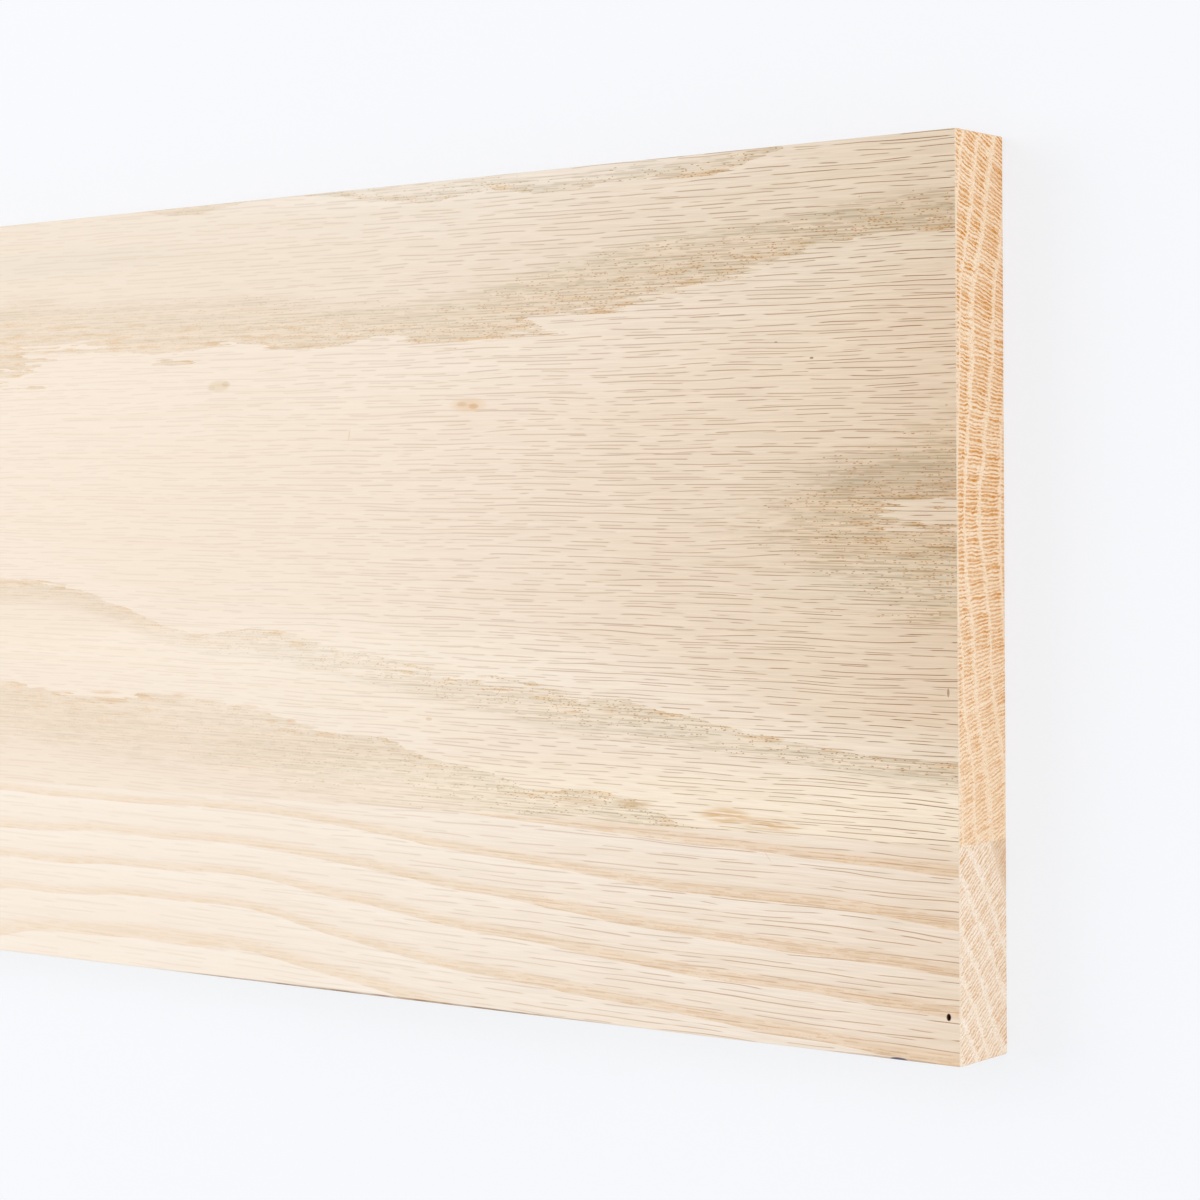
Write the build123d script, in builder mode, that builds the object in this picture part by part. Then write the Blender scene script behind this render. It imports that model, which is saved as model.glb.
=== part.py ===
"""Solid oak stair riser: a wide and a narrow stave, glued edge to edge and planed flush.

The riser lies on its back. X runs along its length, Y up its height and Z through its thickness.
The origin is at the middle of the back face, and the shown face looks along +Z.
"""

import os

from build123d import *

# Overall sizes, in millimetres
riser_length = 914.4  # 36 in stock length
riser_height = 190.5  # 7 1/2 in, both staves together
riser_thickness = 19.05  # 3/4 in, planed on both faces
narrow_stave_height = 45.0  # from the bottom edge up to the glue joint

# Radius of the eased long arrises, and width of the bevel sanded on the sawn ends
eased_arris = 0.4
sawn_arris = 0.2

# Beetle pinhole in the shown face, near the right-hand end
pinhole_from_end = 2.7
pinhole_from_bottom = 10.0
pinhole_along_grain = 0.8
pinhole_across_grain = 1.3
pinhole_depth = 5.0

# Places worked out from the sizes
bottom_edge = -riser_height / 2
top_edge = riser_height / 2
glue_joint = bottom_edge + narrow_stave_height
right_end = riser_length / 2


def sawn_end_edges(stave):
    """Gives the outline of both sawn ends, apart from the lines where the staves meet."""
    ends = stave.faces().filter_by(Axis.X)
    return [edge for edge in ends.edges() if abs(edge.center().Y - glue_joint) > eased_arris]


# Wide flat-sawn stave, from the glue joint to the top edge. A profile's own X is the riser's Y.
with BuildPart() as wide_stave:
    with BuildSketch(Plane.YZ) as wide_profile:
        with Locations((glue_joint, 0)):
            Rectangle(top_edge - glue_joint, riser_thickness, align=(Align.MIN, Align.MIN))
        fillet(wide_profile.vertices().group_by(Axis.X)[-1], eased_arris)  # top edge's two corners
    extrude(amount=riser_length / 2, both=True)
    chamfer(sawn_end_edges(wide_stave), sawn_arris)

# Narrow rift-sawn stave, from the bottom edge to the glue joint
with BuildPart() as narrow_stave:
    with BuildSketch(Plane.YZ) as narrow_profile:
        with Locations((bottom_edge, 0)):
            Rectangle(narrow_stave_height, riser_thickness, align=(Align.MIN, Align.MIN))
        fillet(narrow_profile.vertices().group_by(Axis.X)[0], eased_arris)  # bottom edge's two corners
    extrude(amount=riser_length / 2, both=True)
    chamfer(sawn_end_edges(narrow_stave), sawn_arris)
    with BuildSketch(Plane.XY.offset(riser_thickness)):
        with Locations((right_end - pinhole_from_end, bottom_edge + pinhole_from_bottom)):
            Ellipse(pinhole_along_grain / 2, pinhole_across_grain / 2)
    extrude(amount=-pinhole_depth, mode=Mode.SUBTRACT)

wide_stave.part.label = "wide_stave"
narrow_stave.part.label = "narrow_stave"

os.makedirs("parts", exist_ok=True)
export_step(wide_stave.part, "parts/wide_stave.step")
export_step(narrow_stave.part, "parts/narrow_stave.step")
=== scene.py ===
"""Looks of a solid oak stair riser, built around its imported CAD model.

The riser is two staves glued edge to edge. Each is a fine mesh of the CAD node's own size, and every point
of it knows where it lay in the log: how far along the grain, how far around the rings and in which year's
wood. The grain on the faces, edges and sawn ends is worked out from that, so that all sides agree. Lengths
are in millimetres up to the mesh, which is in metres.
"""

import logging
import math
from dataclasses import dataclass, field
from enum import Enum
from typing import Any, Callable, Union

import bpy
import numpy as np
from mathutils import Matrix, Vector


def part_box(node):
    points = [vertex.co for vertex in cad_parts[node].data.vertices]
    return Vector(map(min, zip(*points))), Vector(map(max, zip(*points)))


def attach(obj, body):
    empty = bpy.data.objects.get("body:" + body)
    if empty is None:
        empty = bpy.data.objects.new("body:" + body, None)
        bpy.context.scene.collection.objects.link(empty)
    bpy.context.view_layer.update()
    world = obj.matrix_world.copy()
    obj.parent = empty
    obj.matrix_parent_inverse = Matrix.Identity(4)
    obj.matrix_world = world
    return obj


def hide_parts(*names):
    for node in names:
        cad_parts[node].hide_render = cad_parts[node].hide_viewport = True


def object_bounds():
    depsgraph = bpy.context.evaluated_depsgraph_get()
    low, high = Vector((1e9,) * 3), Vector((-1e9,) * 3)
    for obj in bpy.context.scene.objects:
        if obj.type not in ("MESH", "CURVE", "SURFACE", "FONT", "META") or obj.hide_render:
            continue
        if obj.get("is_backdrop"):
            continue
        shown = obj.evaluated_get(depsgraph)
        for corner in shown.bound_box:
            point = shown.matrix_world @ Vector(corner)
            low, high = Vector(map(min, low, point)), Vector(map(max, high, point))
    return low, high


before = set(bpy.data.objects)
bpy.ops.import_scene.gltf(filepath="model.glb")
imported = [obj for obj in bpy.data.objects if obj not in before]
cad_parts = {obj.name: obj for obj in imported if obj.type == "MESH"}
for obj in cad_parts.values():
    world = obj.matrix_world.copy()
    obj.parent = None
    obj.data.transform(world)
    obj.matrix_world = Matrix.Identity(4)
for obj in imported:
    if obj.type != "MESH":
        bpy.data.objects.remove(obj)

METRE = 1000.0
EARLY_PART = 0.25  # the part of a year that its early wood takes up, as the years are counted here
SAWN_FROM = 456.5  # how far from the riser's middle its sawn ends start, past the pinhole's walls
SHOWN_FROM = 12.0  # how far above the back face the shown face's marks start, blemishes and painted shade alike
Number = Union[int, float]
Colour = tuple[float, float, float]
Point = tuple[float, float, float]
Pair = tuple[float, float]

log = logging.getLogger("stair_riser")


# Expressions on sockets


def operator(operation: str, swapped: bool = False) -> Callable[["Value", "Operand"], "Value"]:
    """Makes a method for one of Value's operators.

    Args:
        operation: What its Math node does.
        swapped: Whether the other operand comes first.

    Returns:
        The method, which gives the Math node's result.
    """

    def apply(self: "Value", other: "Operand") -> "Value":
        """Adds the Math node."""
        return self.tree.math(operation, *((other, self) if swapped else (self, other)))

    return apply


class Value:
    """A socket of a node tree that Python's operators build Math nodes on."""

    def __init__(self, tree: "Tree", socket: bpy.types.NodeSocket) -> None:
        """Keeps the socket and the tree that it is in."""
        self.tree = tree
        self.socket = socket

    __add__, __radd__ = operator("ADD"), operator("ADD", swapped=True)
    __sub__, __rsub__ = operator("SUBTRACT"), operator("SUBTRACT", swapped=True)
    __mul__, __rmul__ = operator("MULTIPLY"), operator("MULTIPLY", swapped=True)
    __truediv__, __rtruediv__ = operator("DIVIDE"), operator("DIVIDE", swapped=True)
    __gt__ = operator("GREATER_THAN")

    def __abs__(self) -> "Value":
        """Gives the size of self without its sign."""
        return self.tree.math("ABSOLUTE", self)

    def rises(self, low: "Operand", high: "Operand") -> "Value":
        """Gives a smooth step.

        Args:
            low: Where the step starts, at 0.
            high: Where it ends, at 1. Below low, the step falls instead.

        Returns:
            The step at self, from 0 to 1.
        """
        inputs = {"Value": self, "From Min": low, "From Max": high}
        node = self.tree.add("ShaderNodeMapRange", {"interpolation_type": "SMOOTHSTEP"}, inputs)
        return Value(self.tree, node.outputs["Result"])


Operand = Union[Value, Number]


class Laid(Enum):
    """How one colour is laid over another."""

    COVER = "MIX"
    TINT = "MULTIPLY"


class Tree:
    """A node tree, shader or geometry, that is written as expressions."""

    def __init__(self, tree: bpy.types.NodeTree) -> None:
        """Keeps the tree and empties it."""
        self.tree = tree
        self.tree.nodes.clear()

    def feed(self, socket: bpy.types.NodeSocket, value: Any) -> None:
        """Links or sets one input socket.

        Args:
            socket: The input socket.
            value: A Value or socket to link, or a constant to set.
        """
        if isinstance(value, Value):
            self.tree.links.new(value.socket, socket)
        elif isinstance(value, bpy.types.NodeSocket):
            self.tree.links.new(value, socket)
        elif socket.type == "RGBA" and len(value) == 3:
            socket.default_value = (*value, 1.0)
        else:
            socket.default_value = value

    def add(self, kind: str, settings: dict[str, Any] | None = None,
            inputs: dict[Any, Any] | None = None) -> bpy.types.Node:
        """Adds a node.

        Args:
            kind: The node's type.
            settings: Its settings, set first. "stops" gives a ramp's stops as places and colours.
            inputs: What feeds its sockets, by the socket's name, identifier or number.

        Returns:
            The node.
        """
        node = self.tree.nodes.new(kind)
        for name, value in (settings or {}).items():
            if name == "stops":
                self.set_stops(node.color_ramp, value)
            else:
                setattr(node, name, value)
        by_identifier = {socket.identifier: socket for socket in node.inputs}
        for name, value in (inputs or {}).items():
            self.feed(by_identifier[name] if name in by_identifier else node.inputs[name], value)
        return node

    @staticmethod
    def set_stops(ramp: bpy.types.ColorRamp, stops: list[tuple[float, Colour]]) -> None:
        """Puts a ramp's stops in place.

        Args:
            ramp: The ramp, which has two stops to begin with.
            stops: Each stop's place and colour, from low to high.
        """
        while len(ramp.elements) < len(stops):
            ramp.elements.new(1.0)
        for element, (place, colour) in zip(ramp.elements, stops):
            element.position = place
            element.color = (*colour, 1.0)

    def value(self, socket: bpy.types.NodeSocket) -> Value:
        """Gives a socket as a Value."""
        return Value(self, socket)

    def math(self, operation: str, *operands: Operand) -> Value:
        """Gives the result of a Math node on one to three operands."""
        node = self.add("ShaderNodeMath", {"operation": operation}, dict(enumerate(operands)))
        return self.value(node.outputs[0])

    def smaller(self, one: Operand, other: Operand) -> Value:
        """Gives the smaller of two."""
        return self.math("MINIMUM", one, other)

    def larger(self, one: Operand, other: Operand) -> Value:
        """Gives the larger of two."""
        return self.math("MAXIMUM", one, other)

    def split(self, vector: Any) -> tuple[Value, Value, Value]:
        """Gives a vector's three parts."""
        node = self.add("ShaderNodeSeparateXYZ", inputs={"Vector": vector})
        return tuple(self.value(socket) for socket in node.outputs)

    def join(self, x: Operand, y: Operand, z: Operand) -> bpy.types.NodeSocket:
        """Gives a vector made of three parts."""
        return self.add("ShaderNodeCombineXYZ", inputs={"X": x, "Y": y, "Z": z}).outputs[0]

    def noise(self, vector: Any, detail: float = 2.0) -> Value:
        """Gives noise from about 0 to 1 with features as long as one unit of the vector."""
        inputs = {"Vector": vector, "Scale": 1.0, "Detail": detail, "Roughness": 0.5}
        return self.value(self.add("ShaderNodeTexNoise", inputs=inputs).outputs["Fac"])

    def chance(self, x: Operand, y: Operand) -> Value:
        """Gives a random number from 0 to 1 for each pair of whole numbers."""
        node = self.add("ShaderNodeTexWhiteNoise", {"noise_dimensions": "2D"}, {"Vector": self.join(x, y, 0)})
        return self.value(node.outputs["Value"])

    def rows(self, x: Value, y: Value, pitch: float, run: float, thick: Operand, share: float,
             seed: float, soft: Operand = 0.075) -> Value:
        """Draws thin broken lines in rows, each line tapering at both ends.

        Args:
            x: The way along the rows, in millimetres.
            y: The way across them, in millimetres.
            pitch: How far apart the rows are.
            run: How long the lines are, about.
            thick: Half the lines' thickness.
            share: How much of each row has a line, from 0 to 1.
            seed: Sets these rows apart from others.
            soft: How far the lines' edges fade to each side.

        Returns:
            How much of a line there is, from 0 to 1.
        """
        row = y / pitch + seed
        number = self.math("FLOOR", row)
        own = self.chance(number, seed)
        start = x + own * 400
        sway = self.noise(self.join(start / (run * 2.5), number * 3.7, seed), detail=0.0)
        ink = self.noise(self.join(start / run, number * 5.3, seed + 9.0), detail=0.0)
        ink = ink.rises(0.66 - 0.33 * share, 0.79 - 0.33 * share)
        aside = abs(row - number - 0.34 - 0.32 * own - 0.36 * (sway - 0.5)) * pitch
        return (thick * (0.55 + 0.45 * ink) - aside).rises(-1.0 * soft, soft) * ink * (0.65 + 0.7 * sway)

    def spindles(self, x: Operand, y: Operand, spacing: Pair, size: Pair) -> tuple[Value, Value]:
        """Scatters marks that taper at both ends.

        Args:
            x: The way along the marks, in millimetres.
            y: The way across them, in millimetres.
            spacing: How far apart they are along and across.
            size: Their mean half length, and half their thickness.

        Returns:
            How much of a mark there is, and a number from 0 to 1 that is the nearest mark's own.
        """
        cell = [x / spacing[0], y / spacing[1]]
        inputs = {"Vector": self.join(*cell, 0.0), "Scale": 1.0, "Randomness": 1.0}
        node = self.add("ShaderNodeTexVoronoi", {"voronoi_dimensions": "2D"}, inputs)
        centre = self.split(node.outputs["Position"])
        length, own, _ = self.split(node.outputs["Color"])
        aside = (cell[0] - centre[0]) * (spacing[0] / size[0]) / (0.35 + 1.3 * length)
        above = (cell[1] - centre[1]) * (spacing[1] / size[1])
        return (aside * aside + above * above).rises(1.0, 0.25), own

    def blend(self, factor: Operand, one: Any, other: Any, laid: Laid = Laid.COVER) -> bpy.types.NodeSocket:
        """Gives a colour that goes from one to other as the factor rises.

        Args:
            factor: From 0 to 1.
            one: The colour at 0.
            other: The colour at 1.
            laid: How the other colour is laid over the one.

        Returns:
            The mixed colour's socket.
        """
        settings = {"data_type": "RGBA", "blend_type": laid.value, "clamp_factor": True}
        inputs = {"Factor_Float": factor, "A_Color": one, "B_Color": other}
        outputs = self.add("ShaderNodeMix", settings, inputs).outputs
        return next(socket for socket in outputs if socket.identifier == "Result_Color")


# Growth rings


def on_face(*places: Pair) -> list[Point]:
    """Gives points of the shown face, each from its distance to the right end and its height."""
    return [(away, height, 0.0) for away, height in places]


def on_end(*places: Pair) -> list[Point]:
    """Gives points of the right end, each from its depth below the shown face and its height."""
    return [(0.0, height, depth) for depth, height in places]


@dataclass
class Rings:
    """The growth rings of one stave, as a field that gives the year of the wood at any point.

    A point is its distance from the right end, its height above the middle and its depth below the shown
    face.

    Attributes:
        starts: How far out from a fixed point in the log each year's wood starts, from the oldest.
        first_year: The oldest year's number. Years count up towards the bark.
        traces: For a place in a year, points that it passes through, read off the photograph. A whole
            number is where that year's wood starts, and EARLY_PART more is where its early wood ends.
        early_width: Width of a year's porous early wood.
        early_widths: The same for years that differ.
        reach: How far a traced point bends the rings, along, up and into the stave.
        ease: How loosely the rings follow the traced points.
        wander: How far the rings wander where nothing is traced.
        slope: How far the grain climbs away from the right end.
        seed: Seed of the wander.
        out_at: How far out each edge of early wood is, worked out from the starts.
        years: The years that go with them.
        points: All the traced points.
        weights: How far each of them bends the rings.
    """

    starts: list[float]
    first_year: int
    traces: dict[float, list[Point]]
    early_width: float = 1.1
    early_widths: dict[int, float] = field(default_factory=dict)
    reach: Point = (24.0, 13.0, 5.0)
    ease: float = 0.03
    wander: float = 0.5
    slope: float = 0.015
    seed: int = 3
    out_at: np.ndarray = field(init=False)
    years: np.ndarray = field(init=False)
    points: np.ndarray = field(init=False)
    weights: np.ndarray = field(init=False)

    def __post_init__(self) -> None:
        """Bends the smooth rings until they pass through the traced points."""
        self.out_at, self.years = self.edges()
        traced = [(year, point) for year, line in self.traces.items() for point in line]
        self.points = np.array([point for _, point in traced])
        wanted = np.interp([year for year, _ in traced], self.years, self.out_at)
        self.weights = np.zeros(len(traced))
        pull = self.pull(self.points) + self.ease * np.eye(len(traced))
        self.weights = np.linalg.solve(pull, wanted - self.smooth(self.points) - self.wandering(self.points))

    def edges(self) -> tuple[np.ndarray, np.ndarray]:
        """Finds both edges of each year's early wood.

        Returns:
            How far out they are, and the years that go with them.
        """
        years = np.arange(len(self.starts)) + self.first_year
        widths = [self.early_widths.get(year, self.early_width) for year in years]
        out_at = np.stack([self.starts, np.add(self.starts, widths)], axis=1)
        return out_at.ravel(), np.stack([years, years + EARLY_PART], axis=1).ravel()

    def smooth(self, points: np.ndarray) -> np.ndarray:
        """Gives how far out each point is in a straight, even log."""
        raise NotImplementedError

    def around(self, points: np.ndarray) -> np.ndarray:
        """Gives how far around the rings each point is, in millimetres."""
        raise NotImplementedError

    def pull(self, points: np.ndarray) -> np.ndarray:
        """Gives how much each traced point bears on each of the points."""
        gaps = (points[:, None, :] - self.points[None]) / self.reach
        return np.exp(-np.square(gaps).sum(axis=-1))

    def wandering(self, points: np.ndarray) -> np.ndarray:
        """Adds up a few long waves.

        Args:
            points: The points to wander at.

        Returns:
            How far the rings wander at each point.
        """
        chance = np.random.default_rng(self.seed)
        total = np.zeros(len(points))
        for _ in range(7):
            wave = chance.uniform(-1.0, 1.0, 3) / (45.0, 32.0, 40.0)
            total += np.sin(points @ wave + chance.uniform(0.0, 6.28)) / 2.6
        return self.wander * total

    def year(self, points: np.ndarray) -> np.ndarray:
        """Finds the year of the wood, a few thousand points at a time.

        Args:
            points: The points to find it for.

        Returns:
            Each point's year. The fraction is the part of that year, EARLY_PART where the early wood ends.
        """
        out = np.empty(len(points))
        for some in np.array_split(np.arange(len(points)), max(1, len(points) // 4000)):
            near = points[some]
            radius = self.smooth(near) + self.wandering(near) + self.pull(near) @ self.weights
            out[some] = np.interp(radius, self.out_at, self.years)
        return out


@dataclass
class FlatSawnRings(Rings):
    """Rings that arch across the stave, with the pith behind its back face.

    Attributes:
        pith_height: The pith's height above the riser's middle.
        pith_depth: How far the pith is below the shown face.
        ray_depth: How far below the shown face the rays seem to meet.
        taper: How fast the log narrows away from the right end.
    """

    pith_height: float = 17.0
    pith_depth: float = 270.0
    ray_depth: float = 200.0
    taper: float = 0.013

    def smooth(self, points: np.ndarray) -> np.ndarray:
        """Gives how far out each point is from the pith, past the shown face, in a tapering log."""
        away, height, depth = points.T
        return (np.hypot(height - self.pith_height, self.pith_depth - depth) - self.pith_depth
                + self.taper * away)

    def around(self, points: np.ndarray) -> np.ndarray:
        """Gives each point's way around the pith, measured at the shown face."""
        away, height, depth = points.T
        return (self.ray_depth * np.arctan2(height - self.pith_height, self.ray_depth - depth)
                - self.slope * away)


@dataclass
class RiftSawnRings(Rings):
    """Nearly straight rings that slant through the stave.

    Attributes:
        out: The way from pith to bark, as its parts up and into the stave.
        taper: How fast the way out grows away from the right end.
    """

    out: Pair = (0.56, 0.83)
    taper: float = -0.014

    def smooth(self, points: np.ndarray) -> np.ndarray:
        """Gives how far out each point is along the slanted way from pith to bark."""
        away, height, depth = points.T
        return self.out[0] * height + self.out[1] * depth + self.taper * away

    def around(self, points: np.ndarray) -> np.ndarray:
        """Gives each point's way along the rings, square to the way out."""
        away, height, depth = points.T
        return self.out[1] * height - self.out[0] * depth - self.slope * away


# Finish


@dataclass(frozen=True)
class Mark:
    """A mark of the shown face: a small blemish, a broad soft patch, and in a few cases painted shade.

    Attributes:
        away: Its distance from the right end.
        height: Its height above the middle.
        size: Half its length and half its width.
        colour: Its colour.
        strength: How much it covers, from 0 to 1.
        turn: How far its length is turned from the grain, in radians.
        soft: Where its edge starts to fade, as a part of its size.
        broken: How much the grain breaks it up, from 0 to 1.
    """

    away: float
    height: float
    size: Pair
    colour: Colour
    strength: float
    turn: float = 0.0
    soft: float = 0.3
    broken: float = 0.0

    def paint(self, tree: Tree, place: list[Value], shown: Value, grain: Value,
              colour: Any) -> bpy.types.NodeSocket:
        """Paints the mark.

        Args:
            tree: The material's tree.
            place: The place in the riser.
            shown: 1 near the shown face, and 0 elsewhere.
            grain: Noise along the grain, from 0 to 1.
            colour: The colour below it.

        Returns:
            The colour with the mark on it.
        """
        right_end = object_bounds()[1][0] * METRE
        aside, above = place[0] - (right_end - self.away), place[1] - self.height
        cosine, sine = math.cos(self.turn), math.sin(self.turn)
        lengthwise = (aside * cosine + above * sine) / self.size[0]
        crosswise = (above * cosine - aside * sine) / self.size[1]
        oval = (lengthwise * lengthwise + crosswise * crosswise).rises(1.0, self.soft)
        cover = oval * shown * self.strength
        if self.broken:
            cover = cover * (1 - self.broken + self.broken * grain)
        return tree.blend(cover, colour, self.colour)


@dataclass(frozen=True)
class OakFinish:
    """Planed, unfinished red oak.

    Attributes:
        name: The material's name.
        wood: Colour of the dense late wood on the long faces.
        end_tone: Tint of the wood near the sawn ends, where it has dried and darkened.
        early: Tint of the porous wood that starts each year.
        grey: Tint of the grey-green streaks in it.
        rust: Tint of the rusty patches along its edge.
        middle: Tint of the wood between it and the late wood.
        late: Tint of the late wood.
        last: Tint of the year's last wood.
        fibres: Tints of the pale and the dark fibres.
        streak: Tint of broad streaks along the grain.
        margin: Tint of the last stretch before the sawn ends.
        dash: Tint of the rays, cut across as dashes.
        pore: Tint of the fine lines of pores.
        pale: Tint of the pale lines between them.
        speck: Colour of open pores.
        sawn_wood: Colour of the sawn end between the rays.
        sawn_ray: Colour of the rays and the early wood there.
        painted_edge_highlight: Colour of a painted highlight along the sawn end's edge at the shown face,
            where its bevel would catch the light.
        fuzz: Tint of the torn fibres there.
        clear_over: Where the grain grows clear, between these distances from the riser's middle.
        end_tone_over: Where that tint comes in, between these distances from the riser's middle.
        margin_over: Where the margin before a sawn end starts and ends.
        year_width: Usual width of a year's wood.
        dash_pitch: How far apart the rows of dashes are, in each of the two sets.
        dash_run: How long the dashes are, about.
        dash_thick: Half their thickness.
        ray_pitch: How far apart the rays are on the sawn ends.
        relief: Height of the fibres on the planed faces, in metres.
        speckle: How dark the open pores are.
        heartwood: The year from which the sawn ends are darker.
        heart: Colour that they go towards there.
        fray: How ragged the years' edges are, as a part of a year.
        marks: Small marks of the shown face: blemishes, and some painted shade.
        soft_patches: Large soft patches of the shown face, below the grain, that make it paler in some places
            and darker in others.
    """

    name: str
    wood: Colour = (0.930, 0.788, 0.650)
    end_tone: Colour = (0.900, 0.855, 0.788)
    early: Colour = (0.945, 0.905, 0.845)
    grey: Colour = (0.84, 0.865, 0.845)
    rust: Colour = (0.92, 0.76, 0.55)
    middle: Colour = (0.975, 0.972, 0.965)
    late: Colour = (0.99, 0.99, 0.985)
    last: Colour = (1.0, 1.02, 1.04)
    fibres: tuple[Colour, Colour] = ((1.04, 1.037, 1.033), (0.945, 0.928, 0.905))
    streak: Colour = (0.93, 0.89, 0.83)
    margin: Colour = (0.92, 0.87, 0.80)
    dash: Colour = (0.38, 0.22, 0.115)
    pore: Colour = (0.72, 0.69, 0.61)
    pale: Colour = (1.10, 1.10, 1.10)
    speck: Colour = (0.46, 0.22, 0.07)
    sawn_wood: Colour = (0.70, 0.285, 0.020)
    sawn_ray: Colour = (1.0, 0.82, 0.62)
    painted_edge_highlight: Colour = (1.0, 0.86, 0.68)
    fuzz: Colour = (0.84, 0.68, 0.48)
    clear_over: Pair = (200.0, 475.0)
    end_tone_over: Pair = (290.0, 480.0)
    margin_over: Pair = (425.0, 457.2)
    year_width: float = 5.2
    dash_pitch: float = 1.6
    dash_run: float = 8.2
    dash_thick: float = 0.070
    ray_pitch: float = 0.84
    relief: float = 0.00010
    speckle: float = 1.0
    heartwood: float = 99.0
    heart: Colour = (0.62, 0.37, 0.17)
    fray: float = 0.13
    marks: tuple[Mark, ...] = ()
    soft_patches: tuple[Mark, ...] = ()

    def material(self) -> bpy.types.Material:
        """Builds the material.

        Returns:
            The material, which reads the mesh's "grain" attribute.
        """
        material = bpy.data.materials.new(self.name)
        material.use_nodes = True
        tree = Tree(material.node_tree)
        grain = tree.add("ShaderNodeAttribute", {"attribute_name": "grain"}).outputs["Vector"]
        along, across, year = tree.split(grain)
        coords = tree.add("ShaderNodeTexCoord").outputs
        place = [axis * METRE for axis in tree.split(coords["Object"])]
        normal = tree.split(coords["Normal"])
        out = year * self.year_width
        # Ragged start of each year's wood
        lanes = tree.noise(tree.join(along / 13, across / 0.9, out / 6), detail=2.0)
        steps = tree.noise(tree.join(along / 34, across / 3.2, out / 8), detail=1.0)
        frayed = year + (lanes - 0.5) * self.fray + (steps - 0.5) * self.fray
        part = frayed - tree.math("FLOOR", frayed)
        early = part.rises(EARLY_PART * 1.30, EARLY_PART * 0.70)
        shown = place[2] > SHOWN_FROM
        flecks = tree.noise(tree.join(along / 7, across / 0.5, out / 2), detail=2.0).rises(0.40, 0.62)
        face, relief, roughness = self.long_face(tree, place, along, across, out, part, early)
        for mark in self.marks:
            face = mark.paint(tree, place, shown, flecks, face)
        sawn = abs(normal[0]).rises(0.5, 0.8) * (abs(along) > SAWN_FROM)
        end = self.sawn_end(tree, along, across, out, part)
        end = tree.blend((year > self.heartwood) * 0.35, end, self.heart)
        # A painted highlight: a pale cream line along the sawn end's edge at the shown face, in place of the
        # light that its bevel would catch
        end = tree.blend(place[2].rises(18.60, 18.85) * 0.5, end, self.painted_edge_highlight)
        bump = tree.add("ShaderNodeBump", inputs={"Height": relief, "Distance": self.relief, "Strength": 0.5})
        shine = {"IOR": 1.45, "Specular IOR Level": 0.3}
        planed = tree.add("ShaderNodeBsdfPrincipled", inputs={
            "Base Color": face, "Roughness": roughness, "Normal": bump.outputs[0], **shine,
        })
        cut = tree.add("ShaderNodeBsdfPrincipled", inputs={"Base Color": end, "Roughness": 0.66, **shine})
        mixed = tree.add("ShaderNodeMixShader", inputs={0: sawn, 1: planed.outputs[0], 2: cut.outputs[0]})
        tree.add("ShaderNodeOutputMaterial", inputs={"Surface": mixed.outputs[0]})
        return material

    def long_face(self, tree: Tree, place: list[Value], along: Value, across: Value, out: Value, part: Value,
                  early: Value) -> tuple:
        """Colours the long faces.

        Args:
            tree: The material's tree.
            place: The place in the riser.
            along: The way along the grain.
            across: The way around the rings.
            out: The way out from the pith.
            part: The part of the year's growth.
            early: How early in the year the wood grew, from 0 to 1.

        Returns:
            The colour, the relief's height and the roughness.
        """
        aged = abs(along).rises(*self.clear_over)
        end_toning = abs(along).rises(*self.end_tone_over)
        margin = abs(along).rises(*self.margin_over)
        wavy = (across + 1.6 * tree.noise(tree.join(along / 45, across / 7, 0.0), detail=1.0)
                + 0.22 * tree.noise(tree.join(along / 9, across / 3, 0.0), detail=1.0))
        end_tone = tuple(wood * tint for wood, tint in zip(self.wood, self.end_tone))
        colour = tree.blend(end_toning, self.wood, end_tone)
        colour = tree.blend(margin * 0.4, colour, self.margin, Laid.TINT)
        season = tree.add("ShaderNodeValToRGB", {"stops": [
            (0.0, self.early), (0.17, self.early), (0.30, self.middle), (0.60, self.late),
            (0.88, self.last), (1.0, self.last),
        ]}, {"Fac": part}).outputs["Color"]
        colour = tree.blend(0.60 + 0.40 * aged, colour, season, Laid.TINT)
        shown = place[2] > SHOWN_FROM
        for soft_patch in self.soft_patches:
            colour = soft_patch.paint(tree, place, shown, shown, colour)
        # Streaks along the grain
        contrast = 0.15 + 0.85 * aged
        broad = tree.noise(tree.join(along / 60, across / 1.3, out / 2.5), detail=2.0)
        fine = tree.noise(tree.join(along / 14, across / 0.34, out / 0.9), detail=3.0)
        fibre = tree.blend(fine.rises(0.33, 0.67), *self.fibres)
        colour = tree.blend(contrast, colour, fibre, Laid.TINT)
        colour = tree.blend(broad.rises(0.42, 0.75) * 0.24, colour, self.streak, Laid.TINT)
        streaks = tree.noise(tree.join(along / 30, across / 0.6, out / 1.4 + 5.0), detail=3.0)
        greyed = streaks.rises(0.42, 0.60) * early * (0.34 + 0.52 * aged)
        colour = tree.blend(greyed, colour, self.grey, Laid.TINT)
        patches = tree.noise(tree.join(along / 9, across / 1.1, out / 3), detail=2.0)
        rusted = patches.rises(0.50, 0.66) * part.rises(0.14, 0.0) * early
        colour = tree.blend(rusted * (0.25 + 0.40 * self.speckle), colour, self.rust, Laid.TINT)
        # Pores
        thin = tree.rows(along, across, 0.62, 4.5, 0.12, 0.75, 23.0)
        pale = tree.rows(along, across, 0.95, 7.0, 0.13, 0.55, 91.0)
        pores = thin * early
        colour = tree.blend(pale * early * 0.6 * contrast, colour, self.pale, Laid.TINT)
        colour = tree.blend(pores * (0.24 + 0.60 * aged), colour, self.pore, Laid.TINT)
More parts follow.
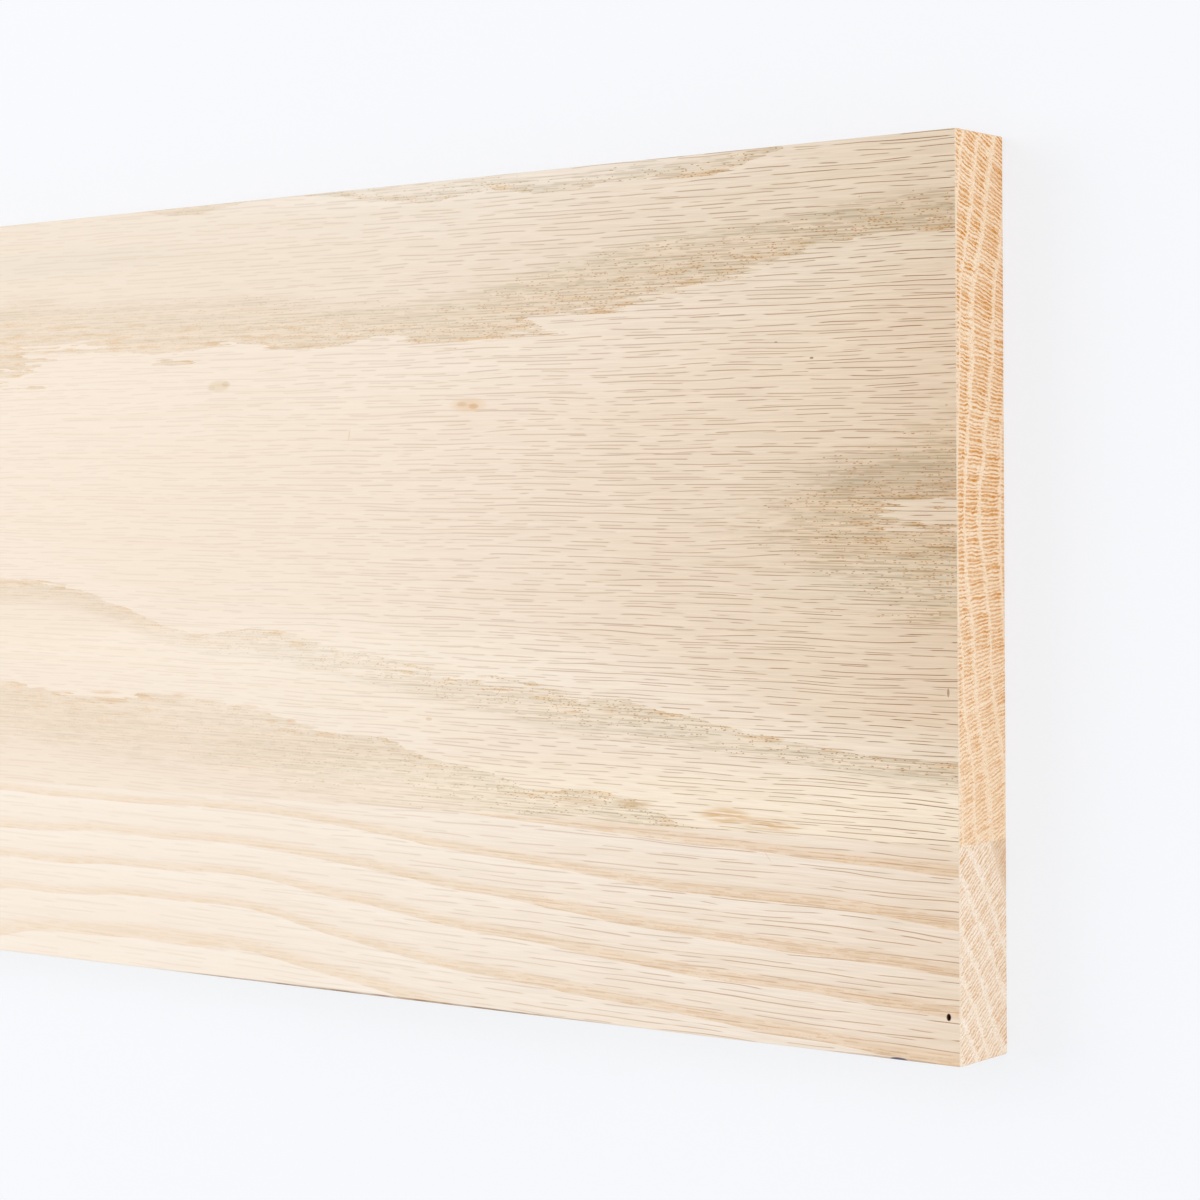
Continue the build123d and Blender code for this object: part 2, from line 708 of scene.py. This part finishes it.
        # Rays
        thick, soft = self.dash_thick + 0.07 * (1 - aged), 0.055 + 0.11 * (1 - aged)
        long = tree.rows(along, wavy, self.dash_pitch, self.dash_run, thick, 0.90, 1.0, soft)
        more = tree.rows(along, wavy, self.dash_pitch, self.dash_run * 0.8, thick * 0.9, 0.66, 57.5, soft)
        strength = 0.11 + 0.30 * aged + 0.48 * aged * aged + 0.12 * margin
        dashes = tree.larger(long, more * 0.9) * strength * (1 - 0.50 * early)
        colour = tree.blend(dashes, colour, self.dash, Laid.TINT)
        open_pores, own = tree.spindles(along + 11.0, across + 3.3, (1.4, 0.40), (0.36, 0.115))
        edge = part.rises(0.14, 0.0)
        crowd = patches.rises(0.48, 0.60) * 0.34
        specks = open_pores * (own > (0.92 - 0.34 * edge - crowd + 0.5 * (1 - early)))
        colour = tree.blend(specks * (0.16 + 0.82 * aged) * self.speckle, colour, self.speck)
        return colour, fine, 0.56 + 0.10 * early + 0.08 * pores

    def sawn_end(self, tree: Tree, along: Value, across: Value, out: Value,
                 part: Value) -> bpy.types.NodeSocket:
        """Colours the sawn ends.

        Args:
            tree: The material's tree.
            along: The way along the grain.
            across: The way around the rings.
            out: The way out from the pith.
            part: The part of the year's growth.

        Returns:
            The colour.
        """
        side = along / 60
        bend = tree.noise(tree.join(side, across / 2.6, out / 2.4), detail=1.0)
        rough = tree.noise(tree.join(side, across / 0.35, out / 0.8), detail=1.0)
        row = (across + 1.1 * bend) / self.ray_pitch
        number, year = tree.math("FLOOR", row), tree.math("FLOOR", out / self.year_width)
        own, tone = tree.chance(number, year), tree.chance(number, year + 40.0)
        off = abs(row - number - 0.35 - 0.3 * own) * self.ray_pitch
        stroke = (0.15 + 0.12 * tone - off + 0.38 * (rough - 0.5)).rises(-0.07, 0.06) * (0.66 + 0.34 * own)
        ragged = part + 0.55 * (rough - 0.5) + 0.14 * (own - 0.5)
        late = ragged.rises(EARLY_PART * 0.50, EARLY_PART * 1.50) * ragged.rises(1.08, 0.95)
        dark = (0.80 + part.rises(0.8, 0.28) * 0.25) * (0.57 + 0.41 * across.rises(-70.0, 8.0))
        fuzz = tree.noise(tree.join(side, across / 0.22, out / 0.40), detail=1.0)
        stroke = stroke * (0.70 + fuzz.rises(0.40, 0.60) * 0.50)
        colour = tree.blend(late * dark * (0.02 + 0.26 * tone), self.sawn_ray, self.sawn_wood)
        colour = tree.blend(stroke * (0.12 + 0.88 * late) * dark, colour, self.sawn_wood)
        colour = tree.blend(fuzz.rises(0.42, 0.62) * 0.50, colour, self.fuzz, Laid.TINT)
        dots, own = tree.spindles(out, across, (0.50, 0.36), (0.17, 0.10))
        return tree.blend(dots * own * (0.60 - 0.45 * late), colour, self.sawn_wood)


# Staves


@dataclass(frozen=True)
class Pinhole:
    """A beetle's hole in the shown face.

    Attributes:
        away: Its distance from the right end.
        height: Its height above the middle.
        size: Its widths along and across the grain, and its depth.
    """

    away: float
    height: float
    size: Point


@dataclass
class Stave:
    """One stave of the riser: its shape, its place in the log and its finish.

    Attributes:
        node: The CAD node that it stands for.
        material_slot: The name of the slot for its finish; it is not used.
        rings: Its growth rings.
        finish: What it is dressed in.
        rounds_low: Whether the arris at its low edge is eased.
        rounds_high: Whether the arris at its high edge is eased.
        arris: Radius of an eased long arris.
        bevel: Width of the bevel on the sawn ends.
        cell: Size of the mesh's cells along, up and into the stave.
        pinhole: The hole in its shown face, if it has one.
    """

    node: str
    material_slot: str
    rings: Rings
    finish: OakFinish
    rounds_low: bool
    rounds_high: bool
    arris: float = 0.4
    bevel: float = 0.2
    cell: Point = (3.2, 1.7, 1.2)
    pinhole: Pinhole | None = None

    def build(self) -> bpy.types.Object:
        """Makes the stave, dressed in its finish, and marks its grain.

        Returns:
            The stave, at its place in the riser.
        """
        low, high = (np.array(corner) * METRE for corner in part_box(self.node))
        shell = self.shell(low, high)
        places = np.empty(len(shell.data.vertices) * 3)
        shell.data.vertices.foreach_get("co", places)
        self.mark_grain(shell.data, places.reshape(-1, 3) * METRE)
        shell.data.materials.clear()
        shell.data.materials.append(self.finish.material())
        return shell

    def shell(self, low: np.ndarray, high: np.ndarray) -> bpy.types.Object:
        """Builds the closed shell with geometry nodes.

        Args:
            low: The CAD node's lowest corner.
            high: Its highest corner.

        Returns:
            The shell as a plain mesh object.
        """
        group = shell_tree()
        holder = bpy.data.objects.new("holder", bpy.data.meshes.new("holder"))
        bpy.context.scene.collection.objects.link(holder)
        modifier = holder.modifiers.new("shell", "NODES")
        modifier.node_group = group
        size = high - low
        counts = [int(round(side / step)) + 1 for side, step in zip(size, self.cell)]
        values = {
            "Size": tuple(size / METRE),
            "Centre": tuple((low + high) / 2 / METRE),
            "Rows Along": counts[0],
            "Rows Up": counts[1],
            "Rows Through": counts[2],
            "Low Arris": self.arris / METRE if self.rounds_low else 0.0,
            "High Arris": self.arris / METRE if self.rounds_high else 0.0,
            "Face Arris": self.arris / METRE,
            "Bevel": self.bevel / METRE,
        }
        if self.pinhole:
            mouth = (high[0] - self.pinhole.away, self.pinhole.height, high[2])
            values |= {
                "Has Pinhole": True,
                "Pinhole Mouth": tuple(side / METRE for side in mouth),
                "Pinhole Size": tuple(side / METRE for side in self.pinhole.size),
            }
        for item in group.interface.items_tree:
            if item.item_type == "SOCKET" and item.in_out == "INPUT" and item.name in values:
                modifier[item.identifier] = values[item.name]
        graph = bpy.context.evaluated_depsgraph_get()
        mesh = bpy.data.meshes.new_from_object(holder.evaluated_get(graph))
        bpy.data.objects.remove(holder)
        shell = bpy.data.objects.new(self.node + "_wood", mesh)
        bpy.context.scene.collection.objects.link(shell)
        return shell

    def mark_grain(self, mesh: bpy.types.Mesh, places: np.ndarray) -> None:
        """Stores each point's place in the log as the attribute "grain".

        Args:
            mesh: The stave's mesh.
            places: Its points, in millimetres.
        """
        right_end, face = (value * METRE for value in (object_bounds()[1][0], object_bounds()[1][2]))
        points = np.stack([right_end - places[:, 0], places[:, 1], face - places[:, 2]], axis=1)
        grain = np.stack([places[:, 0], self.rings.around(points), self.rings.year(points)], axis=1)
        mesh.attributes.new("grain", "FLOAT_VECTOR", "POINT").data.foreach_set("vector", grain.ravel())


def shell_tree() -> bpy.types.GeometryNodeTree:
    """Builds the geometry nodes of a stave: a gridded box with eased long arrises and bevelled ends.

    Returns:
        The node group.
    """
    name = "stave_shell"
    if name in bpy.data.node_groups:
        return bpy.data.node_groups[name]
    group = bpy.data.node_groups.new(name, "GeometryNodeTree")
    tree = Tree(group)
    group.interface.new_socket("Geometry", in_out="OUTPUT", socket_type="NodeSocketGeometry")
    for label, kind in {
        "Size": "Vector", "Centre": "Vector", "Rows Along": "Int", "Rows Up": "Int", "Rows Through": "Int",
        "Low Arris": "Float", "High Arris": "Float", "Face Arris": "Float", "Bevel": "Float",
        "Has Pinhole": "Bool", "Pinhole Mouth": "Vector", "Pinhole Size": "Vector",
    }.items():
        group.interface.new_socket(label, in_out="INPUT", socket_type=f"NodeSocket{kind}")
    given = {socket.name: tree.value(socket) for socket in tree.add("NodeGroupInput").outputs if socket.name}
    box = tree.add("GeometryNodeMeshCube", inputs={
        "Size": given["Size"], "Vertices X": given["Rows Along"], "Vertices Y": given["Rows Up"],
        "Vertices Z": given["Rows Through"],
    }).outputs["Mesh"]
    place = tree.split(tree.add("GeometryNodeInputPosition").outputs[0])
    size = tree.split(given["Size"])
    half = [side / 2 for side in size]
    rows = [given["Rows Along"], given["Rows Up"], given["Rows Through"]]
    edge = [given["Bevel"], given["Face Arris"], given["Face Arris"]]
    # The outermost cells share out the arris, the next one is a narrow margin, and the rest are even
    arris_cells = 3
    margin = 0.0003
    spread = []
    for axis in range(3):
        cell = size[axis] / (rows[axis] - 1)
        row = (half[axis] - abs(place[axis])) / cell
        inside = (half[axis] - edge[axis] - margin) / (half[axis] - (arris_cells + 1) * cell)
        off = (tree.smaller(row, arris_cells) / arris_cells * edge[axis]
               + tree.smaller(tree.larger(row - arris_cells, 0), 1) * margin
               + tree.larger(row - (arris_cells + 1), 0) * cell * inside)
        spread.append(tree.math("SIGN", place[axis]) * (half[axis] - off))
    along, up, through = spread
    # Points past an arris's centre are drawn in onto its round, which shrinks towards the bevelled ends
    shrink = tree.larger(given["Bevel"] - (half[0] - abs(along)), 0)
    low = tree.larger(given["Low Arris"] - (half[1] + up), 0) * (given["Low Arris"] > 0)
    high = tree.larger(given["High Arris"] - (half[1] - up), 0) * (given["High Arris"] > 0)
    past_up = low + high
    past_through = tree.larger(given["Face Arris"] - (half[2] - abs(through)), 0)
    reach = tree.math("SQRT", past_up * past_up + past_through * past_through)
    pull = tree.larger(past_up, past_through) / tree.larger(reach, 1e-9)
    scale = 1 - shrink / given["Face Arris"]
    rounded = 1 - (1 - pull) * (past_up > 0) * (past_through > 0)
    new_up = up - (high - low) + (high - low) * rounded * scale
    side = tree.math("SIGN", through)
    new_through = through - side * past_through + side * past_through * rounded * scale
    eased = tree.join(along, new_up, new_through)
    spot = tree.add("ShaderNodeVectorMath", {"operation": "ADD"}, {0: eased, 1: given["Centre"]}).outputs[0]
    moved = tree.add("GeometryNodeSetPosition", inputs={"Geometry": box, "Position": spot}).outputs[0]
    # Pinhole
    width, height, depth = tree.split(given["Pinhole Size"])
    bit = tree.add("GeometryNodeMeshCylinder", inputs={"Vertices": 24, "Radius": 1.0, "Depth": 2.0})
    drill = tree.add("GeometryNodeTransform", inputs={
        "Geometry": bit.outputs["Mesh"], "Translation": given["Pinhole Mouth"],
        "Scale": tree.join(width / 2, height / 2, depth),
    }).outputs[0]
    drilled = tree.add("GeometryNodeMeshBoolean", {"operation": "DIFFERENCE"}, {
        "Mesh 1": moved, "Mesh 2": drill,
    }).outputs[0]
    chosen = tree.add("GeometryNodeSwitch", {"input_type": "GEOMETRY"}, {
        "Switch": given["Has Pinhole"], "False": moved, "True": drilled,
    }).outputs[0]
    # Shading, with the ends' corners kept sharp
    sharp_turn = 0.7  # radians
    smooth = tree.add("GeometryNodeSetShadeSmooth", inputs={"Geometry": chosen}).outputs[0]
    turn = tree.value(tree.add("GeometryNodeInputMeshEdgeAngle").outputs["Unsigned Angle"])
    sharp = tree.add("GeometryNodeSetShadeSmooth", {"domain": "EDGE"}, {
        "Geometry": smooth, "Selection": turn > sharp_turn, "Shade Smooth": False,
    }).outputs[0]
    real = tree.add("GeometryNodeRealizeInstances", inputs={"Geometry": sharp}).outputs[0]
    dressed = tree.add("GeometryNodeSetMaterial", inputs={"Geometry": real}).outputs[0]
    tree.add("NodeGroupOutput", inputs={"Geometry": dressed})
    return group


# Stage


@dataclass
class Studio:
    """The pale floor, the soft lights and the camera.

    Its lengths are in metres, but the camera's lens, sensor and place are in millimetres, and that place is
    taken from the middle of the shown face's right edge.
    """

    right_end: float
    face: float
    lens: float = 87.85
    sensor: float = 36.0
    camera_from_end: Point = (304.13, 15.86, 514.08)
    camera_right: Point = (0.79261, -0.00890, -0.60966)
    camera_up: Point = (-0.00870, 0.99963, -0.02590)
    floor_colour: Colour = (0.92, 0.935, 0.965)
    backdrop_colour: Colour = (0.945, 0.955, 0.980)
    floor_glow: float = 0.74
    floor_size: float = 12.0
    floor_gap: float = 0.0001
    sky: float = 0.74
    sky_colour: Colour = (0.97, 0.985, 1.0)
    sky_seen: Colour = (0.94, 0.95, 0.97)
    aim_from_end: float = 0.15

    def build(self) -> None:
        """Builds the floor, the lights and the camera."""
        self.add_floor()
        self.add_lights()
        self.add_camera()

    def add_camera(self) -> None:
        """Puts the camera where the photograph was taken from."""
        camera = bpy.data.cameras.new("camera")
        camera.lens = self.lens
        camera.sensor_width = self.sensor
        camera.clip_start = 0.01
        right, up = Vector(self.camera_right).normalized(), Vector(self.camera_up)
        back = right.cross(up).normalized()
        up = back.cross(right)
        turn = Matrix((right, up, back)).transposed().to_4x4()
        away, height, above = (value / METRE for value in self.camera_from_end)
        place = Vector((self.right_end + away, height, self.face + above))
        view = bpy.data.objects.new("camera", camera)
        view.matrix_world = Matrix.Translation(place) @ turn
        bpy.context.scene.collection.objects.link(view)
        bpy.context.scene.camera = view

    def add_floor(self) -> None:
        """Lays a pale floor just under the riser."""
        mesh = bpy.data.meshes.new("floor")
        reach = self.floor_size / 2
        corners = [(-reach, -reach), (reach, -reach), (reach, reach), (-reach, reach)]
        mesh.from_pydata([(x, y, -self.floor_gap) for x, y in corners], [], [(0, 1, 2, 3)])
        floor = bpy.data.objects.new("floor", mesh)
        bpy.context.scene.collection.objects.link(floor)
        material = bpy.data.materials.new("pale_floor")
        material.use_nodes = True
        tree = Tree(material.node_tree)
        shader = tree.add("ShaderNodeBsdfPrincipled", inputs={
            "Base Color": self.floor_colour, "Roughness": 0.9, "Specular IOR Level": 0.0,
        })
        white = tree.add("ShaderNodeEmission", inputs={"Color": self.backdrop_colour, "Strength": 1.0})
        rays = tree.add("ShaderNodeLightPath").outputs
        seen = tree.larger(tree.larger(tree.value(rays["Is Camera Ray"]), tree.value(rays["Is Glossy Ray"])),
                           tree.value(rays["Is Transmission Ray"]))
        mixed = tree.add("ShaderNodeMixShader", inputs={
            0: seen * self.floor_glow, 1: shader.outputs[0], 2: white.outputs[0],
        })
        tree.add("ShaderNodeOutputMaterial", inputs={"Surface": mixed.outputs[0]})
        mesh.materials.append(material)
        floor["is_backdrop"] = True

    def add_lights(self) -> None:
        """Lights the scene with a pale sky and two soft lamps."""
        world = bpy.data.worlds.new("sky")
        world.use_nodes = True
        bpy.context.scene.world = world
        tree = Tree(world.node_tree)
        rays = tree.add("ShaderNodeLightPath").outputs
        seen = tree.larger(tree.value(rays["Is Camera Ray"]), tree.value(rays["Is Transmission Ray"]))
        light = tree.add("ShaderNodeBackground", inputs={"Color": self.sky_colour, "Strength": self.sky})
        white = tree.add("ShaderNodeBackground", inputs={"Color": self.sky_seen, "Strength": 1.0})
        mixed = tree.add("ShaderNodeMixShader", inputs={0: seen, 1: light.outputs[0], 2: white.outputs[0]})
        tree.add("ShaderNodeOutputWorld", inputs={"Surface": mixed.outputs[0]})
        self.add_lamp("overhead", (-1.1, 0.4, 1.4), 1.4, 16.0)
        self.add_lamp("end_fill", (1.9, -0.1, 0.35), 0.8, 5.2)

    def add_lamp(self, name: str, place: Point, width: float, power: float) -> None:
        """Adds a soft square lamp that looks at the riser's visible end.

        Args:
            name: The lamp's name.
            place: Where it hangs, in metres.
            width: Its width, in metres.
            power: Its power, in watts.
        """
        lamp = bpy.data.lights.new(name, "AREA")
        lamp.size = width
        lamp.energy = power
        target = Vector((self.right_end - self.aim_from_end, 0.0, 0.0))
        aim = (target - Vector(place)).to_track_quat("-Z", "Y").to_matrix().to_4x4()
        holder = bpy.data.objects.new(name, lamp)
        holder.matrix_world = Matrix.Translation(place) @ aim
        bpy.context.scene.collection.objects.link(holder)


# The riser's own two staves

WIDE_RINGS = FlatSawnRings(
    starts=[-35.0, -26.5, -17.0, -8.9, -3.0, 0.1, 5.2, 10.2, 15.5, 21.0, 27.0],
    first_year=-2,
    early_widths={3: 0.65, 4: 1.35, 5: 0.9},
    traces={
        0: on_end((17.7, 30), (17.1, 20), (17.1, 11), (17.9, 1.5)),
        1: on_end((18.5, 74), (15.4, 63), (14.8, 51), (12.7, 39), (10.2, 26), (8.9, 19), (9.4, 13),
                  (11.9, 1.5), (13.4, -12), (15.6, -25), (18.7, -35)),
        2: on_end((15.8, 94), (13.1, 83), (9.6, 70), (7.5, 64), (7.1, 53), (6.4, 45), (4.2, 30), (3.1, 21),
                  (3.1, 14), (5.0, 0), (6.9, -11), (7.4, -20), (9.2, -27), (11.6, -35), (13.4, -48)),
        3: on_end((9.6, 94), (7.5, 85), (5.6, 76.5), (3.1, 68), (1.6, 60), (1.3, 50), (0.9, 39), (0.9, -6),
                  (2.2, -12.5), (2.8, -22), (4.2, -28), (6.4, -42), (7.3, -49))
        + on_face((20, 17), (0, 21), (0, 13.5)),
        4: on_end((3.3, 94), (1.4, 86), (1.6, -49))
        + on_face((300, 57), (288, 57), (279, 60.5), (273, 63.3), (262, 62.5), (250, 63.5), (241, 62.5),
                  (233, 59.5), (220, 59), (205, 60), (190, 59.5), (178, 58.5), (165, 59.5), (150, 58.8),
                  (135, 57), (123, 57.5), (115, 60), (102, 60.5), (94, 63), (78, 65.3), (68, 66.5), (58, 68),
                  (48, 69.5), (40, 71.5), (32, 74), (25, 75.3), (12, 76), (0, 75.5))
        + on_face((300, 4.5), (289, 2.5), (269, 2), (258, -0.5), (241, -5), (230, -9), (213, -10),
                  (187, -10), (175, -13), (157, -14.5), (140, -17.5), (122, -18), (110, -20.5), (88, -22.5),
                  (68, -25.3), (54, -28.5), (36, -30.5), (25, -32.3), (0, -34)),
        4.25: on_face((0, 82.5), (12, 83), (37, 81), (62, 78.5), (87, 77), (112, 73), (137, 68), (162, 68.5),
                      (187, 70.5), (212, 72.5), (237, 72.5), (262, 73.5), (287, 76), (0, -38), (12, -37.5),
                      (37, -35), (62, -32.7), (87, -31), (112, -29.8), (137, -25.7), (162, -20.8),
                      (187, -16.7), (212, -15.5), (237, -9.8), (262, -4.5), (287, -2.7)),
        5: on_face((300, -24.5), (284, -24.5), (274, -26.5), (260, -25.5), (222, -25.5), (207, -27.5),
                   (190, -30), (178, -32.7), (160, -33.7), (148, -36), (137, -39.5), (124, -40.5),
                   (112, -44), (97, -43), (80, -45.5), (70, -49), (56, -51))
        + on_face((300, 99), (270, 97.5), (240, 95.5), (215, 93.8), (197, 95.5), (180, 95.5), (162, 93),
                  (150, 91.5), (135, 90), (122, 92), (110, 90.5), (97, 90.2), (82, 91.2), (65, 90.5),
                  (54, 92), (45, 94), (36, 96)),
        5.25: on_face((87, -48.9), (112, -50.3), (137, -48.5), (162, -47.7), (187, -46.5), (212, -44),
                      (237, -42), (262, -41.5), (287, -40.2)),
    },
)

NARROW_RINGS = RiftSawnRings(
    starts=[-70.0, -64.0, -58.2, -52.7, -47.4, -42.8, -37.5, -31.4, -25.9, -18.6, -12.0, -6.0],
    first_year=-7,
    early_width=1.45,
    traces={
        0: on_face((90, -52.2), (56, -54.0), (31, -55.2), (0, -56.6)) + on_end((6.5, -66.2), (14.2, -77.2)),
        -1: on_face((292, -52.6), (255, -53.3), (220, -53.2), (188, -54.0), (157, -56.7), (121, -60.1),
                    (92, -62.7), (65, -64.6), (39, -64.9), (15, -66.0), (0, -67.6))
        + on_end((6.9, -77.2), (13.5, -90.2)),
        -2: on_face((292, -62.8), (255, -61.5), (221, -62.0), (188, -63.0), (157, -65.7), (121, -69.2),
                    (92, -71.9), (65, -73.9), (39, -75.3), (15, -76.2), (0, -77.2)) + on_end((7.9, -89.2)),
        -3: on_face((292, -70.2), (244, -69.8), (210, -69.4), (188, -70.8), (157, -74.3), (121, -78.1),
                    (92, -80.4), (65, -82.7), (39, -83.1), (23, -84.2), (0, -85.3)),
        -4: on_face((292, -78.7), (244, -77.2), (210, -77.1), (188, -79.4), (157, -84.1), (121, -87.8),
                    (92, -89.8), (65, -91.4), (48, -92.9), (31, -93.6), (15, -94.8)),
        -5: on_face((293, -91.4), (268, -88.0), (232, -87.6), (199, -88.1), (178, -91.0), (157, -93.8)),
        1: on_end((6.9, -56.2), (12.5, -64.2), (18.8, -75.2)),
        2: on_end((12.5, -50.5), (18.7, -62.5)),
    },
    wander=0.3,
    seed=5,
)

# The wide stave's soft patches, under the grain, make it paler over its lower part and darker over its upper
# part and near the right end, with a paler strip along the top edge
WIDE_FINISH = OakFinish("flat_sawn_oak", soft_patches=(
    Mark(40, -44, (190, 11), (0.97, 0.835, 0.67), 0.88, soft=0),
    Mark(195, -14.5, (130, 9), (0.96, 0.83, 0.69), 0.85, soft=0),
    Mark(8, 25, (40, 6.5), (0.58, 0.45, 0.32), 0.40, soft=0),
    Mark(12, 3, (40, 7), (0.84, 0.72, 0.57), 0.40, soft=0),
    Mark(275, 84, (70, 4.5), (0.80, 0.70, 0.58), 0.30, soft=0),
    Mark(100, 90, (500, 34), (0.76, 0.67, 0.54), 0.22, soft=0),
    Mark(4, 78.5, (32, 5.5), (0.58, 0.43, 0.29), 0.18, soft=0),
    Mark(150, -24, (130, 15), (0.97, 0.85, 0.71), 0.50, soft=0),
    Mark(50, -32, (75, 8.5), (0.94, 0.82, 0.68), 0.55, soft=0),
    Mark(130, 93.5, (95, 4.5), (0.92, 0.82, 0.71), 0.70, soft=0),
), marks=(
    Mark(209, 50.6, (4.4, 1.8), (0.76, 0.60, 0.38), 0.60, soft=0.1, broken=0.3),
    Mark(206.6, 51, (1.8, 0.9), (0.60, 0.44, 0.25), 0.50, soft=0.1, broken=0.4),
    Mark(211.6, 50.2, (1.7, 0.8), (0.66, 0.54, 0.38), 0.45, soft=0.1, broken=0.4),
    Mark(129, 43.4, (6.5, 2.1), (0.82, 0.57, 0.35), 0.55, soft=0),
    Mark(127.5, 43.1, (1.8, 0.8), (0.68, 0.40, 0.17), 0.60, soft=0.1),
    Mark(131, 43.7, (1.8, 0.7), (0.66, 0.46, 0.28), 0.50, soft=0.1),
    Mark(166, 37.5, (1.6, 0.18), (0.78, 0.52, 0.26), 0.6, turn=1.4),
    Mark(35, 50.3, (0.6, 0.25), (0.22, 0.12, 0.06), 0.8),
    Mark(44, 54, (0.5, 0.22), (0.30, 0.17, 0.09), 0.6),
    Mark(2.4, -19, (0.35, 1.1), (0.30, 0.17, 0.09), 0.7),
    Mark(142, -29, (1.2, 0.5), (0.70, 0.46, 0.25), 0.45),
    Mark(275, -25.6, (4.5, 0.6), (0.78, 0.50, 0.28), 0.6, soft=0, broken=0.8),
    Mark(251, -25.8, (8.5, 0.7), (0.78, 0.50, 0.28), 0.6, soft=0, broken=0.8),
    Mark(224, -25.8, (5.5, 0.8), (0.76, 0.48, 0.26), 0.6, soft=0, broken=0.8),
    Mark(201, -28, (5, 0.7), (0.76, 0.48, 0.26), 0.6, soft=0, broken=0.8),
    Mark(186, -31.2, (2.2, 1.1), (0.76, 0.48, 0.26), 0.6, soft=0, broken=0.8),
    Mark(101, -47.2, (3, 0.8), (0.72, 0.42, 0.20), 0.6, soft=0, broken=0.8),
    Mark(58, -47, (8, 2.1), (0.76, 0.50, 0.26), 1, soft=0, broken=0.9),
    Mark(46, -48.2, (10, 1.8), (0.74, 0.48, 0.25), 0.95, soft=0, broken=0.9),
    Mark(83, -45.8, (7, 1.3), (0.64, 0.40, 0.18), 0.65, soft=0, broken=0.7),
    Mark(98, -45.8, (9, 1.1), (0.74, 0.50, 0.28), 0.6, soft=0, broken=0.8),
))

NARROW_FINISH = OakFinish(
    "rift_sawn_oak", wood=(0.958, 0.836, 0.710), end_tone=(0.940, 0.905, 0.875), early=(0.95, 0.885, 0.805),
    grey=(0.96, 0.95, 0.93), dash=(0.54, 0.37, 0.24), pore=(0.88, 0.80, 0.70), speck=(0.62, 0.38, 0.18),
    sawn_wood=(0.68, 0.32, 0.05), sawn_ray=(1.0, 0.89, 0.77),
    dash_pitch=2.2, dash_run=11.0, dash_thick=0.074, speckle=0.30, heartwood=2.0, fray=0.05,
    marks=(
        Mark(47, -55.2, (1.7, 0.12), (0.75, 0.45, 0.25), 0.5, turn=-0.9),
        # Painted shadow: a dark broken line along the low arris, with a dark blue-grey spot on it, in place
        # of the contact shadow under that edge
        Mark(160, -95.1, (80, 0.45), (0.30, 0.17, 0.09), 0.9, soft=0.2, broken=0.4),
        Mark(18, -95.1, (16, 0.40), (0.38, 0.23, 0.12), 0.8, soft=0.2, broken=0.5),
        Mark(14.7, -95.05, (2.3, 0.42), (0.09, 0.07, 0.14), 0.95, soft=0.4, broken=0.2),
        # Painted shade: the pinhole's walls and bottom, and a thin ring round its mouth, painted dark brown
        Mark(2.7, -85.25, (0.62, 0.88), (0.10, 0.045, 0.02), 0.97, soft=0.55),
    ),
)


def main() -> None:
    """Builds the stage and the two staves, and reports each piece."""
    logging.basicConfig(level=logging.INFO, format="%(name)s: %(message)s")
    bpy.context.scene.view_settings.view_transform = "Standard"
    cad_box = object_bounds()
    Studio(right_end=cad_box[1][0], face=cad_box[1][2]).build()
    staves = [
        Stave("wide_stave", "flat_sawn_oak", WIDE_RINGS, WIDE_FINISH, rounds_low=False, rounds_high=True),
        Stave("narrow_stave", "rift_sawn_oak", NARROW_RINGS, NARROW_FINISH, rounds_low=True,
              rounds_high=False, pinhole=Pinhole(2.7, -85.25, (0.8, 1.3, 5.0))),
    ]
    for stave in staves:
        piece = stave.build()
        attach(piece, "root")
        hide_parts(stave.node)
        log.info("%s: %d faces", piece.name, len(piece.data.polygons))


if __name__ == "__main__":
    main()
